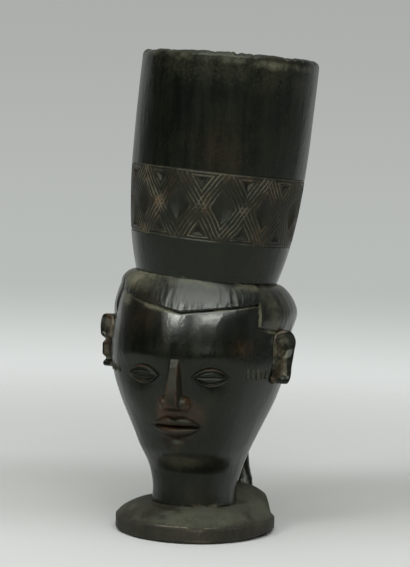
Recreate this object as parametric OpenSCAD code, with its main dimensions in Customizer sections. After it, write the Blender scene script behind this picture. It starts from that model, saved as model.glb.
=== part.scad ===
// Carved head cup: a tall drinking cup that rises from the crown of a carved wooden head.
// Millimetres. The foot stands on Z = 0, the head looks along -Y and its own left is +X.

/* [Foot] */
// Radius of the round foot
foot_r = 33; // [30:0.5:38]
// Height of the foot's upright edge
foot_edge_h = 7; // [5:0.5:9]
// Height of the foot's seat for the neck
foot_h = 13.5; // [11:0.5:16]
// Width of the worn bevels along the foot's edge
foot_bevel = 1.2; // [0.6:0.1:2]

/* [Neck] */
// Radius of the neck on its seat
neck_r = 17.5; // [15:0.5:20]
// Height above the chin of the cut under the jaw, on the neck's axis
jaw_lift = 5; // [4:0.5:7]
// Rise of that cut towards the nape, in degrees
jaw_rise = 14; // [8:1:20]

/* [Head] */
// Width of the face at the cheekbones
head_w = 74; // [68:0.5:80]
// Distance from the neck's axis to the forehead
forehead_d = 36.5; // [34:0.5:39]
// Distance that the forehead rounds back from the brow to the hairline
forehead_round = 2.5; // [1:0.25:4]
// Distance from the neck's axis to the chin
chin_d = 28; // [25:0.5:31]
// Distance from the neck's axis to the back of the skull
skull_d = 37; // [34:0.5:40]
// Height of the chin
chin_z = 34; // [31:0.5:37]
// Height at which the sides reach their full width
cheek_z = 75; // [68:0.5:80]
// Height at which the nape starts to swell
nape_z = 20; // [16:0.5:24]

/* [Face] */
// Width of one eye
eye_w = 16.5; // [14:0.5:19]
// Height of one eye
eye_h = 8; // [6:0.5:10]
// Drop from the brow to the middle of the eyes
eye_drop = 6; // [5:0.5:8]
// Turn of each eye's middle from the front, in degrees
eye_a = 24; // [21:0.5:28]
// Width of the raised lids round each eye
lid_w = 1.5; // [1:0.1:2]
// Height of the lids above the face
lid_out = 1.3; // [0.8:0.1:2]
// Width of the nose across its wings
nose_w = 14; // [11:0.5:17]
// Height of the nose's tip above the face
nose_out = 8; // [5:0.5:11]
// Turn of the mouth's corners from the front, in degrees
mouth_a = 20; // [15:0.5:25]
// Height of the lips above the face
lip_out = 4; // [2.5:0.25:5]
// Number of raised marks on each temple
mark_count = 5; // [3:1:6]
// Length of one temple mark
mark_l = 5; // [3:0.5:7]
// Height of the row of temple marks
mark_z = 69.5; // [66:0.5:73]

/* [Hair] */
// Thickness of the hair above the face
hair_t = 1.6; // [1:0.1:2.5]
// Height of the hairline at the middle of the forehead
hairline_z = 94; // [91:0.5:97]
// Height of the hairline's corner at the temple
temple_z = 99.8; // [97:0.1:101]
// Turn of the left temple's corner from the front, in degrees
left_temple_a = 52; // [46:0.5:58]
// Turn of the right temple's corner from the front, in degrees
right_temple_a = 60; // [54:0.5:64]
// Drop of the hairline at the temple's corner
temple_drop = 10; // [7:0.5:13]
// Height of the hairline across the nape
nape_hair_z = 66; // [64:0.5:72]
// Height at which the hair's rounded shoulder starts
shoulder_z = 92; // [89:0.5:95]

/* [Ears] */
// Height of one ear
ear_h = 23.5; // [20:0.5:26]
// Width of one ear from front to back
ear_w = 11; // [10:0.5:13]
// Radius of the ear's lobe
ear_lobe_r = 4.2; // [3:0.1:5]
// Height of the middle of the ear
ear_z = 75.5; // [73:0.5:77]
// Turn of the ear from the front, in degrees
ear_a = 79; // [76:0.5:86]
// Distance that the ear's rim stands out from the head
ear_out = 4.5; // [4:0.5:7]
// Width of the ear's rim
ear_rim = 2.4; // [2:0.1:3]
// Forward turn of the ear's face, in degrees
ear_flare = 20; // [10:1:30]

/* [Cup] */
// Height of the cup along its own axis
cup_h = 92.5; // [80:0.5:105]
// Radius of the cup's rim
cup_rim_r = 36.9; // [34:0.1:40]
// Radius of the cup where it stands on the head
cup_foot_r = 29.7; // [28:0.1:32]
// Thickness of the wall at the rim
cup_wall = 3.8; // [3:0.1:5]
// Radius of the hollow at its floor
hollow_r = 24.5; // [20:0.5:25.5]
// Thickness of wood under the hollow
cup_floor = 8; // [5:0.5:12]
// Round of the hollow's floor
floor_round = 6; // [3:0.5:10]
// Height of the cup's seat on the head
seat_z = 107; // [105:0.1:110]
// Backward shift of the seat from the neck's axis
seat_back = 2; // [0:0.1:4]
// Shift of the seat towards the head's left
seat_side = 1.3; // [0:0.1:2]
// Backward lean of the cup, in degrees
lean_back = 1.1; // [0:0.1:4]
// Lean of the cup towards the head's left, in degrees
lean_side = 4.4; // [0:0.1:6]

/* [Carved band] */
// Height of the band's lower edge on the cup
band_from = 16; // [12:0.5:20]
// Height of the band
band_h = 28.5; // [22:0.5:34]
// Thickness of the band's ring
band_t = 2.2; // [1.6:0.1:2.8]
// Number of lozenges round the band
lozenges = 12; // [10:1:14]
// Turn of the first lozenge from the front, in degrees
band_turn = 21; // [0:1:30]
// Depth of the sunk lozenges and triangles
sunk = 1.1; // [0.8:0.1:1.4]
// Width of the strands that cross between them
strand_w = 5.4; // [4.4:0.1:6.4]
// Width of the incised lines along the band's edges
line_w = 1; // [0.6:0.1:1.4]

/* [Handle] */
// Width of the handle
handle_w = 30; // [24:0.5:34]
// Width of the handle's spread root on the foot
handle_root_w = 46; // [40:0.5:48]
// Thickness of the handle
handle_t = 8; // [6:0.5:10]
// Inset of the handle's root from the foot's edge
handle_inset = 9; // [8:0.5:11]
// Distance that the handle bows back past its root
handle_bow = 14; // [11:0.5:18]
// Drop from the nape's hairline to the handle's upper end
handle_drop = 6; // [5:0.5:9]

/* [Hidden] */

$fn = 96;

// Blackened wood, with its worn and dusty tones
black_wood = [0.13, 0.12, 0.11];
polished_wood = [0.17, 0.16, 0.15];
worn_wood = [0.25, 0.17, 0.12];
dusty_wood = [0.30, 0.29, 0.26];

// Facets: points round a head section, sections up the head, rows of the hair, steps along a curve
section_points = 48;
section_count = 40;
hair_rows = 12;
curve_steps = 16;
round_steps = 4;
ball_fn = 24;
// How fast rows close up towards the cup's seat
closing_power = 1.5;

// The object's height, for cuts that reach through any part of it
reach = seat_z + cup_h;
// How far a form that is trimmed by the head starts inside it
root_depth = 6;
// Clearance between the two lips
lip_gap = 0.3;

// The face's thirds: hairline to brow, brow to nose, nose to chin
face_third = (hairline_z - chin_z) / 3;
brow_z = chin_z + 2 * face_third;
nose_z = chin_z + face_third;
mouth_z = nose_z - face_third / 3;
eye_z = brow_z - eye_drop;

// Slopes of the cup's seat, which is square to the leaning cup
seat_slope_x = tan(lean_side);
seat_slope_y = tan(lean_back) / cos(lean_side);

function mix(a, b, t) = a + (b - a) * t;
function share(a, b, x) = min(max((x - a) / (b - a), 0), 1);
function smooth(a, b, x) = let (t = share(a, b, x)) t * t * (3 - 2 * t);
function bezier(a, b, c, t) = mix(mix(a, b, t), mix(b, c, t), t);

// The head: half width, front and back of its sections, from the neck's seat to the cup's seat

chin_under = 5;
chin_over = 3;
function side_at(z) = mix(neck_r, head_w / 2, smooth(foot_h, cheek_z, z));
function forehead_fall(z) = forehead_round * pow(max(z - brow_z, 0) / (hairline_z - brow_z), 2);
function face_at(z) = mix(chin_d, forehead_d, smooth(chin_z, brow_z, z)) - forehead_fall(z);
function front_at(z) = mix(neck_r, face_at(z), smooth(chin_z - chin_under, chin_z + chin_over, z));
function back_at(z) = mix(neck_r, skull_d, smooth(nape_z, shoulder_z, z));

// The shoulder draws every section in to the round of the cup's seat
shoulder_power = 0.55;
function shoulder(z) = pow(1 - pow(share(shoulder_z, seat_z, z), 2), shoulder_power);
function drawn_in(size, z) = mix(cup_foot_r, size + hair_t, shoulder(z));

// Sections shift and tilt, from the cheeks up, until the last one is the cup's seat
function settle(z) = smooth(cheek_z, seat_z, z);

// A point of the hair's surface, or of the face where out is -hair_t, at a turn from the front and a height
function hair_point(turn, z, out = 0) =
    let (side = drawn_in(side_at(z), z) + out,
         front = drawn_in(front_at(z), z) + out,
         back = drawn_in(back_at(z), z) + out,
         x = side * sin(turn),
         y = -(cos(turn) > 0 ? front : back) * cos(turn))
    [x + seat_side * settle(z), y + seat_back * settle(z),
     z - settle(z) * (seat_slope_x * x + seat_slope_y * y)];
function face_point(turn, z, out = 0) = hair_point(turn, z, out - hair_t);

// Closed solid through rings of points that run anticlockwise: from the lowest ring to the highest with
// flat ends, or, where looped, up the outside of a shell and down its inside
module loft(rings, looped = false) {
    n = len(rings[0]);
    last = len(rings) - 1;
    ends = looped ? [] : [[for (i = [0:n - 1]) i], [for (i = [n - 1:-1:0]) last * n + i]];
    polyhedron(
        points = [for (ring = rings) each ring],
        faces = concat(
            ends,
            [for (k = [0:looped ? last : last - 1], i = [0:n - 1], upper = [true, false])
                let (low = k * n, high = (k + 1) % len(rings) * n, j = (i + 1) % n)
                upper ? [low + i, high + i, high + j] : [low + i, high + j, low + j]]));
}

// Forms cut by one another on their shared facets
module carved() { resize([0, 0, 0]) children(); }

// Section heights close up towards the seat, where the shoulder turns in
section_heights = [for (k = [0:section_count])
    seat_z - (seat_z - foot_h) * pow(1 - k / section_count, closing_power)];
section_turns = [for (i = [0:section_points - 1]) 360 * i / section_points];

// Neck and head in one, raised by out
module head_mass(out = 0) {
    loft([for (z = section_heights) [for (turn = section_turns) face_point(turn, z, out)]]);
}

module under_jaw() {
    translate([0, 0, chin_z + jaw_lift])
        rotate([jaw_rise, 0, 0])
            translate([-reach / 2, -reach / 2, -reach])
                cube(reach);
}

// A flat shape carried in from the front at a turn and a height, as deep as the head's middle
module from_front(turn, z) {
    translate([0, 0, z])
        rotate([90, 0, turn])
            linear_extrude(reach / 2)
                children();
}

// The part of a carried-in shape that stands on the face, as high as out
module relief(out) {
    difference() {
        intersection() {
            head_mass(out);
            children();
        }
        head_mass();
    }
}

// Foot: a round plate with an upright edge and a top that rises to the neck

module foot() {
    color(dusty_wood)
        rotate_extrude()
            polygon([[0, 0],
                     [foot_r - foot_bevel, 0],
                     [foot_r, foot_bevel],
                     [foot_r, foot_edge_h - foot_bevel],
                     [foot_r - foot_bevel, foot_edge_h],
                     [neck_r, foot_h],
                     [0, foot_h]]);
}

// Neck and head, parted by the cut under the jaw

module neck() {
    color(black_wood)
        carved()
            intersection() {
                head_mass();
                under_jaw();
            }
}

module head() {
    color(black_wood)
        carved()
            difference() {
                head_mass();
                under_jaw();
            }
}

// Nose: a ridge from the brow to a tip between two wings

nose_ridge_r = 2.4;
nose_tip_r = 3.2;
nose_wing_r = 3;
nose_wing_out = 1;

module nose_ball(x, z, out, r) {
    translate(face_point(0, z, out - r) + [x, 0, 0])
        sphere(r, $fn = ball_fn);
}

module nose() {
    color(worn_wood)
        carved()
            difference() {
                hull() {
                    nose_ball(0, brow_z - nose_ridge_r, nose_ridge_r / 2, nose_ridge_r);
                    nose_ball(0, nose_z + nose_tip_r, nose_out, nose_tip_r);
                    for (side = [-1, 1])
                        nose_ball(side * (nose_w / 2 - nose_wing_r), nose_z + nose_wing_r,
                                  nose_wing_r + nose_wing_out, nose_wing_r);
                }
                head_mass();
            }
}

// Lips: two rolls that meet at the corners of the mouth

lip_r = 2;
lip_corner_r = 0.8;
lip_half_a = 5;

module lip_ball(turn, z, out, r) {
    translate(face_point(turn, z, out - r))
        sphere(r, $fn = ball_fn);
}

// up is 1 for the upper lip and -1 for the lower one
module lip(up) {
    color(worn_wood)
        carved()
            difference() {
                hull()
                    for (side = [-1, 1]) {
                        lip_ball(side * mouth_a, mouth_z + up * (lip_corner_r + lip_gap / 2),
                                 lip_corner_r, lip_corner_r);
                        lip_ball(side * lip_half_a, mouth_z + up * (lip_r + lip_gap / 2),
                                 lip_out, lip_r);
                    }
                head_mass();
            }
}

// Eyes: almond lids round a lowered eyeball, which a slit divides

ball_out = 0.7;
slit_w = 0.7;
slit_out = 0.2;

module almond(width, height) {
    r = (width * width + height * height) / (4 * height);
    intersection_for (up = [-1, 1])
        translate([0, up * (r - height / 2)])
            circle(r);
}

// What stands higher than out, over a shape carried in to one eye's place
module lowered(side, out) {
    difference() {
        from_front(side * eye_a, eye_z)
            children();
        head_mass(out);
    }
}

module eye(side) {
    inner_w = eye_w - 3 * lid_w;
    inner_h = eye_h - 2 * lid_w;
    color(polished_wood)
        carved()
            difference() {
                relief(lid_out)
                    from_front(side * eye_a, eye_z)
                        almond(eye_w, eye_h);
                lowered(side, ball_out)
                    almond(inner_w, inner_h);
                lowered(side, slit_out)
                    square([inner_w - 2 * slit_w, slit_w], center = true);
            }
}

// Temple marks: a short row of raised bars between the eye and the ear

mark_w = 1.1;
mark_out = 0.6;
mark_first_a = 49;
mark_step_a = 4;

module temple_marks(side) {
    color(worn_wood)
        carved()
            for (i = [0:mark_count - 1])
                relief(mark_out)
                    from_front(side * (mark_first_a + i * mark_step_a), mark_z)
                        square([mark_w, mark_l], center = true);
}

// Ears: a rounded plate with a raised rim, a hollow and an inner curl, turned to face forwards

ear_hollow = 3.2;
ear_curl_w = 2.2;

module ear_outline() {
    top_r = ear_w / 2;
    hull() {
        translate([0, ear_h / 2 - top_r])
            circle(top_r, $fn = 32);
        translate([-(top_r - ear_lobe_r), -ear_h / 2 + ear_lobe_r])
            circle(ear_lobe_r, $fn = 32);
    }
}

// Drawn flat with its front edge at -X and its face up
module ear_form() {
    difference() {
        translate([0, 0, -root_depth])
            linear_extrude(ear_out + root_depth)
                ear_outline();
        translate([0, 0, ear_out - ear_hollow])
            linear_extrude(reach)
                difference() {
                    offset(-ear_rim)
                        ear_outline();
                    ear_curl();
                }
    }
}

module ear_curl() {
    curl_r = ear_w / 2 - ear_rim - ear_curl_w / 2;
    translate([-ear_w / 2 + ear_rim, -ear_rim])
        difference() {
            circle(curl_r, $fn = 32);
            circle(curl_r - ear_curl_w, $fn = 32);
            translate([-reach, -reach])
                square([reach, 2 * reach]);
        }
}

module ear(side) {
    color(black_wood)
        carved()
            difference() {
                mirror([side < 0 ? 1 : 0, 0, 0])
                    translate(face_point(ear_a, ear_z))
                        rotate([0, 0, ear_a - 90 - ear_flare])
                            rotate([90, 0, 90])
                                ear_form();
                head_mass();
            }
}

// Hair: a raised cap whose hairline drops in a step at each temple and runs behind the ears to the nape

// Clearance between the hair and the skull's facets
hair_seat = 0.2;
temple_step_a = 1.5;
ear_clear_a = 12;
ear_clear_z = 1;
hair_front_steps = 12;
hair_back_steps = 22;

// One side's hairline as turns and heights, out to that side's temple and back to the nape
function hairline(temple_a) =
    [[0, hairline_z],
     [temple_a, temple_z],
     [temple_a + temple_step_a, temple_z - temple_drop],
     [ear_a - ear_clear_a, ear_z + ear_h / 2 + ear_clear_z],
     [ear_a + ear_clear_a, ear_z + ear_h / 2 - ear_clear_z],
     [ear_a + 2 * ear_clear_a, nape_hair_z],
     [180, nape_hair_z]];

function hair_side(temple_a) = concat(
    [for (i = [0:hair_front_steps]) temple_a * i / hair_front_steps],
    [for (i = [0:hair_back_steps]) mix(temple_a + temple_step_a, 180, i / hair_back_steps)]);

right_hair_side = hair_side(right_temple_a);
hair_turns = concat(hair_side(left_temple_a),
                    [for (i = [len(right_hair_side) - 2:-1:1]) 360 - right_hair_side[i]]);

function hairline_at(turn) = turn > 180
    ? lookup(360 - turn, hairline(right_temple_a))
    : lookup(turn, hairline(left_temple_a));
function hair_row(t, out = 0) = [for (turn = hair_turns)
    hair_point(turn, mix(hairline_at(turn), seat_z, t), out)];

module hair_cap() {
    steps = [for (k = [0:hair_rows]) 1 - pow(1 - k / hair_rows, closing_power)];
    color(polished_wood)
        loft(concat([for (t = steps) hair_row(t)],
                    [for (k = [hair_rows:-1:0]) hair_row(steps[k], hair_seat - hair_t)]),
             looped = true);
}

// Cup: a turned-looking wall that curves out from its seat, hollow to a rounded floor

module on_seat() {
    translate([seat_side, seat_back, seat_z])
        rotate([-lean_back, lean_side, 0])
            children();
}

rim_round = 1.2;
// How soon the wall and the hollow reach the rim's width
wall_power = 4;
band_to = band_from + band_h;
function wall_at(h) = cup_rim_r - (cup_rim_r - cup_foot_r) * pow(1 - h / cup_h, wall_power);
function hollow_at(h) = let (rim = cup_rim_r - cup_wall)
    rim - (rim - hollow_r) * pow(1 - (h - cup_floor) / (cup_h - cup_floor), wall_power);
function wall_run(from, to, inset = 0) = [for (k = [0:curve_steps])
    let (h = mix(from, to, k / curve_steps)) [wall_at(h) - inset, h]];

// Quarter round from angle a to b about a centre, for the rim and the floor
function round_run(centre, r, a, b) = [for (k = [0:round_steps])
    let (t = mix(a, b, k / round_steps)) centre + r * [cos(t), sin(t)]];

module cup() {
    top = cup_h - rim_round;
    floor_top = cup_floor + floor_round;
    color(black_wood)
        on_seat()
            rotate_extrude()
                polygon(concat(
                    [[0, 0]],
                    wall_run(0, band_from),
                    wall_run(band_from, band_to, band_t),
                    wall_run(band_to, top),
                    round_run([wall_at(top) - rim_round, top], rim_round, 0, 90),
                    round_run([hollow_at(top) + rim_round, top], rim_round, 90, 180),
                    [for (k = [1:curve_steps])
                        let (h = mix(top, floor_top, k / curve_steps)) [hollow_at(h), h]],
                    round_run([hollow_at(floor_top) - floor_round, floor_top], floor_round, 0, -90),
                    [[0, cup_floor]]));
}

// Carved band: a ring let into the wall, with sunk lozenges and triangles between crossing strands

band_mid = (band_from + band_to) / 2;
band_slope = atan((wall_at(band_to) - wall_at(band_from)) / band_h);
cell_w = 2 * PI * wall_at(band_mid) / lozenges;
// From the band's edge to the middle of its incised line, and to the triangles
edge_line = 1.5 * line_w;
triangle_edge = 3 * line_w;

module band_ring() {
    edge = line_w / 2;
    notch_low = band_from + edge_line;
    notch_high = band_to - edge_line;
    on_seat()
        rotate_extrude()
            polygon(concat(
                wall_run(band_from, notch_low - edge),
                [[wall_at(notch_low) - edge, notch_low]],
                wall_run(notch_low + edge, notch_high - edge),
                [[wall_at(notch_high) - edge, notch_high]],
                wall_run(notch_high + edge, band_to),
                [for (k = [curve_steps:-1:0])
                    let (h = mix(band_from, band_to, k / curve_steps)) [wall_at(h) - band_t, h]]));
}

// A sunk shape, drawn flat as seen from outside, at a turn round the band
module sunk_at(turn) {
    on_seat()
        rotate([0, 0, turn])
            translate([0, -wall_at(band_mid) + sunk, band_mid])
                rotate([90 + band_slope, 0, 0])
                    linear_extrude(reach)
                        children();
}

// Half strands, measured along the cell's middle lines
strand_across = strand_w / 2 * norm([cell_w, band_h]) / band_h;
strand_along = strand_w / 2 * norm([cell_w, band_h]) / cell_w;

module lozenge() {
    half_w = cell_w / 2 - strand_across;
    half_h = band_h / 2 - strand_along;
    polygon([[half_w, 0], [0, half_h], [-half_w, 0], [0, -half_h]]);
}

// Triangle between two strands; up is 1 for the row along the band's upper edge
module triangle(up) {
    base = band_h / 2 - triangle_edge;
    half_w = (base - strand_along) * cell_w / band_h;
    polygon([[0, up * strand_along], [half_w, up * base], [-half_w, up * base]]);
}

module pattern_band() {
    color(worn_wood)
        difference() {
            band_ring();
            for (i = [0:lozenges - 1]) {
                sunk_at(band_turn + i * 360 / lozenges)
                    lozenge();
                for (up = [-1, 1])
                    sunk_at(band_turn + (i + 0.5) * 360 / lozenges)
                        triangle(up);
            }
        }
}

// Handle: a strap that bows back from a spread root on the foot to the nape

handle_points = 20;
handle_rings = 16;
// Share of the handle's length over which its root spreads, and how square its section is
handle_spread = 0.45;
handle_square = 0.7;
handle_top_z = nape_hair_z - handle_drop;
handle_root = [foot_r - handle_inset, foot_edge_h];
handle_peak = [handle_root.x + handle_bow, (handle_root.y + handle_top_z) / 2];
handle_end = [back_at(handle_top_z) - root_depth / 2, handle_top_z];

function handle_ring(t) =
    let (at = bezier(handle_root, handle_peak, handle_end, t),
         way = mix(handle_peak - handle_root, handle_end - handle_peak, t),
         out = [way.y, -way.x] / norm(way),
         half_w = mix(handle_w, handle_root_w, pow(1 - share(0, handle_spread, t), 2)) / 2)
    [for (i = [0:handle_points - 1])
        let (a = 360 * i / handle_points, c = cos(a), s = sin(a),
             x = half_w * sign(c) * pow(abs(c), handle_square),
             d = handle_t / 2 * sign(s) * pow(abs(s), handle_square))
        [x, at.x + out.x * d, at.y + out.y * d]];

module handle() {
    color(black_wood)
        carved()
            difference() {
                loft([for (k = [0:handle_rings]) handle_ring(k / handle_rings)]);
                foot();
                head_mass();
            }
}

foot();
neck();
head();
nose();
lip(1);  // upper_lip
lip(-1);  // lower_lip
eye(1);  // left_eye
eye(-1);  // right_eye
temple_marks(1);  // left_temple_marks
temple_marks(-1);  // right_temple_marks
ear(1);  // left_ear
ear(-1);  // right_ear
hair_cap();
cup();
pattern_band();
handle();
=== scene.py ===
"""Looks of the carved head cup: every form carved again at full detail, in old blackened wood.

Shapes are worked out in millimetres, on the part's own sizes, and become metres where a mesh is made.
The foot stands on Z = 0, the head looks along -Y and its own left is +X. A turn is an angle round the
upright axis, in degrees from the front towards the head's left.
"""
import math

import bpy
import numpy as np
from mathutils import Matrix, Vector


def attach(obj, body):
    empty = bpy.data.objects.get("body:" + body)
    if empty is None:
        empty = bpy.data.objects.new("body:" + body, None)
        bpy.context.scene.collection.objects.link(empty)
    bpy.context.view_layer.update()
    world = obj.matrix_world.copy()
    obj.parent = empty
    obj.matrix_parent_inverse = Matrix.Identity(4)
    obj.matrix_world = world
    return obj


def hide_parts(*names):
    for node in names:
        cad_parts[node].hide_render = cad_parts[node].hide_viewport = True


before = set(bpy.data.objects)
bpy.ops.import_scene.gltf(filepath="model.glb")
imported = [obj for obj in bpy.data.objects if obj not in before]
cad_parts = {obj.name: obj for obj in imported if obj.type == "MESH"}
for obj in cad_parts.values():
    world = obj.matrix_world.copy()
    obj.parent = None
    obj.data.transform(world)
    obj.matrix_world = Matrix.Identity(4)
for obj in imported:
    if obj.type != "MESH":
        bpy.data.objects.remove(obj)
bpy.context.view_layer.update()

MM = 0.001

# Sizes of the part, as its source has them
FOOT_R = 33
FOOT_EDGE_H = 7
FOOT_H = 13.5
FOOT_BEVEL = 1.2
NECK_R = 17.5
JAW_LIFT = 5
JAW_RISE = 14
HEAD_W = 74
FOREHEAD_D = 36.5
FOREHEAD_ROUND = 2.5
CHIN_D = 28
SKULL_D = 37
CHIN_Z = 34
CHEEK_Z = 75
NAPE_Z = 20
EYE_W = 16.5
EYE_H = 8
EYE_DROP = 6
EYE_A = 24
LID_W = 1.5
LID_OUT = 1.3
NOSE_W = 14
NOSE_OUT = 8
MOUTH_A = 20
LIP_OUT = 4
MARK_COUNT = 5
MARK_L = 5
MARK_Z = 69.5
MARK_W = 1.1
MARK_OUT = 0.6
MARK_FIRST_A = 49
MARK_STEP_A = 4
HAIR_T = 1.6
HAIRLINE_Z = 94
TEMPLE_Z = 99.8
LEFT_TEMPLE_A = 52
RIGHT_TEMPLE_A = 60
TEMPLE_STEP_A = 1.5
TEMPLE_DROP = 10
NAPE_HAIR_Z = 66
SHOULDER_Z = 92
EAR_H = 23.5
EAR_W = 11
EAR_LOBE_R = 4.2
EAR_Z = 75.5
EAR_A = 79
EAR_OUT = 4.5
EAR_RIM = 2.4
EAR_FLARE = 20
EAR_HOLLOW = 3.2
EAR_CLEAR_A = 12
EAR_CLEAR_Z = 1
CUP_H = 92.5
CUP_RIM_R = 36.9
CUP_FOOT_R = 29.7
CUP_WALL = 3.8
HOLLOW_R = 24.5
CUP_FLOOR = 8
FLOOR_ROUND = 6
RIM_ROUND = 1.2
WALL_POWER = 4
SEAT_Z = 107
SEAT_BACK = 2
SEAT_SIDE = 1.3
LEAN_BACK = 1.1
LEAN_SIDE = 4.4
BAND_FROM = 16
BAND_H = 28.5
BAND_T = 2.2
LOZENGES = 12
BAND_TURN = 21
HANDLE_W = 30
HANDLE_ROOT_W = 46
HANDLE_T = 8
HANDLE_INSET = 9
HANDLE_BOW = 14
HANDLE_DROP = 6
HANDLE_SPREAD = 0.45
HANDLE_SQUARE = 0.7
ROOT_DEPTH = 6

# The face's thirds: hairline to brow, brow to nose, nose to chin
FACE_THIRD = (HAIRLINE_Z - CHIN_Z) / 3
BROW_Z = CHIN_Z + 2 * FACE_THIRD
NOSE_Z = CHIN_Z + FACE_THIRD
MOUTH_Z = NOSE_Z - FACE_THIRD / 3
EYE_Z = BROW_Z - EYE_DROP
EAR_TOP_Z = EAR_Z + EAR_H / 2
BAND_TO = BAND_FROM + BAND_H
BAND_MID = (BAND_FROM + BAND_TO) / 2

# Slopes of the cup's seat, which is square to the leaning cup
SLOPE_X = math.tan(math.radians(LEAN_SIDE))
SLOPE_Y = math.tan(math.radians(LEAN_BACK)) / math.cos(math.radians(LEAN_SIDE))


# Plain arithmetic on arrays

def mix(a, b, t):
    return a + (b - a) * t


def share(a, b, x):
    return np.clip((x - a) / (b - a), 0, 1)


def smooth(a, b, x):
    """A smooth rise from 0 at a to 1 at b; a fall where b is the lower."""
    t = share(a, b, x)
    return t * t * (3 - 2 * t)


def swell(x, width):
    """A soft hump: 1 in the middle, fading over that width."""
    return np.exp(-(x / width) ** 2)


def lobe(turn, height, middle, width):
    """A soft hump of that height round a turn."""
    return height * swell(wrapped(turn - middle), width)


def spot(x, y, height, x_middle, x_width, y_middle, y_width):
    """A soft spot of that height on a surface with places x and y."""
    return height * swell(x - x_middle, x_width) * swell(y - y_middle, y_width)


def steps(count):
    """Even steps from 0 to 1, down a column."""
    return np.linspace(0, 1, count)[:, None]


def wrapped(turn):
    """A turn brought between -180 and 180 degrees."""
    return (turn + 180) % 360 - 180


def scatter(i, j, k, seed):
    """A fixed number from 0 to 1 that looks random, for each cell of a grid."""
    x = np.sin(i * 127.1 + j * 311.7 + k * 74.7 + seed * 19.3) * 43758.5453
    return x - np.floor(x)


def waver(points, size, seed):
    """Smooth noise from -1 to 1 over points, with features of about that size."""
    place = points / size
    cell = np.floor(place)
    within = place - cell
    within = within * within * (3 - 2 * within)
    total = 0
    for corner in np.ndindex(2, 2, 2):
        weight = np.prod(np.where(corner, within, 1 - within), axis=-1)
        at = cell + np.array(corner)
        total = total + weight * scatter(at[..., 0], at[..., 1], at[..., 2], seed)
    return 2 * total - 1


def patches(points, size, seed):
    """Noise from 0 to 1 that leaves clear places and full places, each of about that size."""
    return smooth(-0.6, 0.6, waver(points, size, seed) + 0.5 * waver(points, size / 3, seed + 1))


def tool_cuts(turn, height, cuts_round, cut_length, depth, level, seed):
    """Scallops left by an adze: depth times -level in the middle of a cut, and 1 - level on the ridges."""
    u = turn / 360 * cuts_round
    v = height / cut_length
    near = 1
    for du, dv in np.ndindex(3, 3):
        i = np.floor(u) + du - 1
        j = np.floor(v) + dv - 1
        gap_u = i + scatter(i % cuts_round, j, 0, seed) - u
        gap_v = j + scatter(i % cuts_round, j, 1, seed) - v
        near = np.minimum(near, gap_u ** 2 + gap_v ** 2)
    return depth * (near - level)


# The head's surface

CHIN_UNDER = 9
CHIN_OVER = 3
SHOULDER_POWER = 0.55


def side_at(z):
    return mix(NECK_R, HEAD_W / 2, smooth(FOOT_H, CHEEK_Z, z))


def front_at(z):
    fall = FOREHEAD_ROUND * (np.maximum(z - BROW_Z, 0) / (HAIRLINE_Z - BROW_Z)) ** 2
    face = mix(CHIN_D, FOREHEAD_D, smooth(CHIN_Z, BROW_Z, z)) - fall
    return mix(NECK_R, face, smooth(CHIN_Z - CHIN_UNDER, CHIN_Z + CHIN_OVER, z))


def back_at(z):
    return mix(NECK_R, SKULL_D, smooth(NAPE_Z, SHOULDER_Z, z))


def drawn_in(size, z):
    """A section's half size with the hair on it, drawn in by the shoulder to the round of the cup's seat."""
    shoulder = (1 - share(SHOULDER_Z, SEAT_Z, z) ** 2) ** SHOULDER_POWER
    return mix(CUP_FOOT_R, size + HAIR_T, shoulder)


def hair_point(turn, z, out=0.0):
    """Points of the hair's surface, raised by out."""
    angle = np.radians(turn)
    x = (drawn_in(side_at(z), z) + out) * np.sin(angle)
    depth = np.where(np.cos(angle) > 0, drawn_in(front_at(z), z), drawn_in(back_at(z), z)) + out
    y = -depth * np.cos(angle)
    settle = smooth(CHEEK_Z, SEAT_Z, z)
    sunk = settle * (SLOPE_X * x + SLOPE_Y * y)
    return np.stack([x + SEAT_SIDE * settle, y + SEAT_BACK * settle, z - sunk], axis=-1)


def face_point(turn, z, out=0.0):
    return hair_point(turn, z, out - HAIR_T)


# Meshes

def grid_quads(rows, columns, wrap_columns=True, wrap_rows=False):
    """Faces of a grid of points, outward where columns run anticlockwise and rows upwards."""
    i = np.arange(rows if wrap_rows else rows - 1)[:, None]
    j = np.arange(columns if wrap_columns else columns - 1)[None, :]
    above = (i + 1) % rows
    beside = (j + 1) % columns
    corners = [i * columns + j, i * columns + beside, above * columns + beside, above * columns + j]
    return np.stack(np.broadcast_arrays(*corners), axis=-1).reshape(-1, 4)


def fan(ring, hub, upward):
    """Triangles from a ring of point numbers to one hub."""
    after = np.roll(ring, -1)
    pair = [ring, after] if upward else [after, ring]
    return np.stack([*pair, np.full(len(ring), hub)], axis=-1)


def mesh_of(points, *faces):
    """A mesh of points in millimetres and of arrays of faces."""
    mesh = bpy.data.meshes.new("piece")
    mesh.from_pydata((points * MM).tolist(), [], [face for group in faces for face in group.tolist()])
    mesh.validate()
    return mesh


def lofted(rows):
    """A closed mesh through rings of points, from the lowest to the highest, with a hub in each end."""
    count, columns = rows.shape[:2]
    points = np.concatenate([rows.reshape(-1, 3), rows[:1].mean(axis=1), rows[-1:].mean(axis=1)])
    low_hub = count * columns
    ring = np.arange(columns)
    ends = [fan(ring, low_hub, False), fan((count - 1) * columns + ring, low_hub + 1, True)]
    return mesh_of(points, grid_quads(count, columns), *ends)


def looped(rows):
    """A closed mesh through rings that run up the outside of a shell and down its inside."""
    return mesh_of(rows.reshape(-1, 3), grid_quads(*rows.shape[:2], wrap_rows=True))


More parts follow.
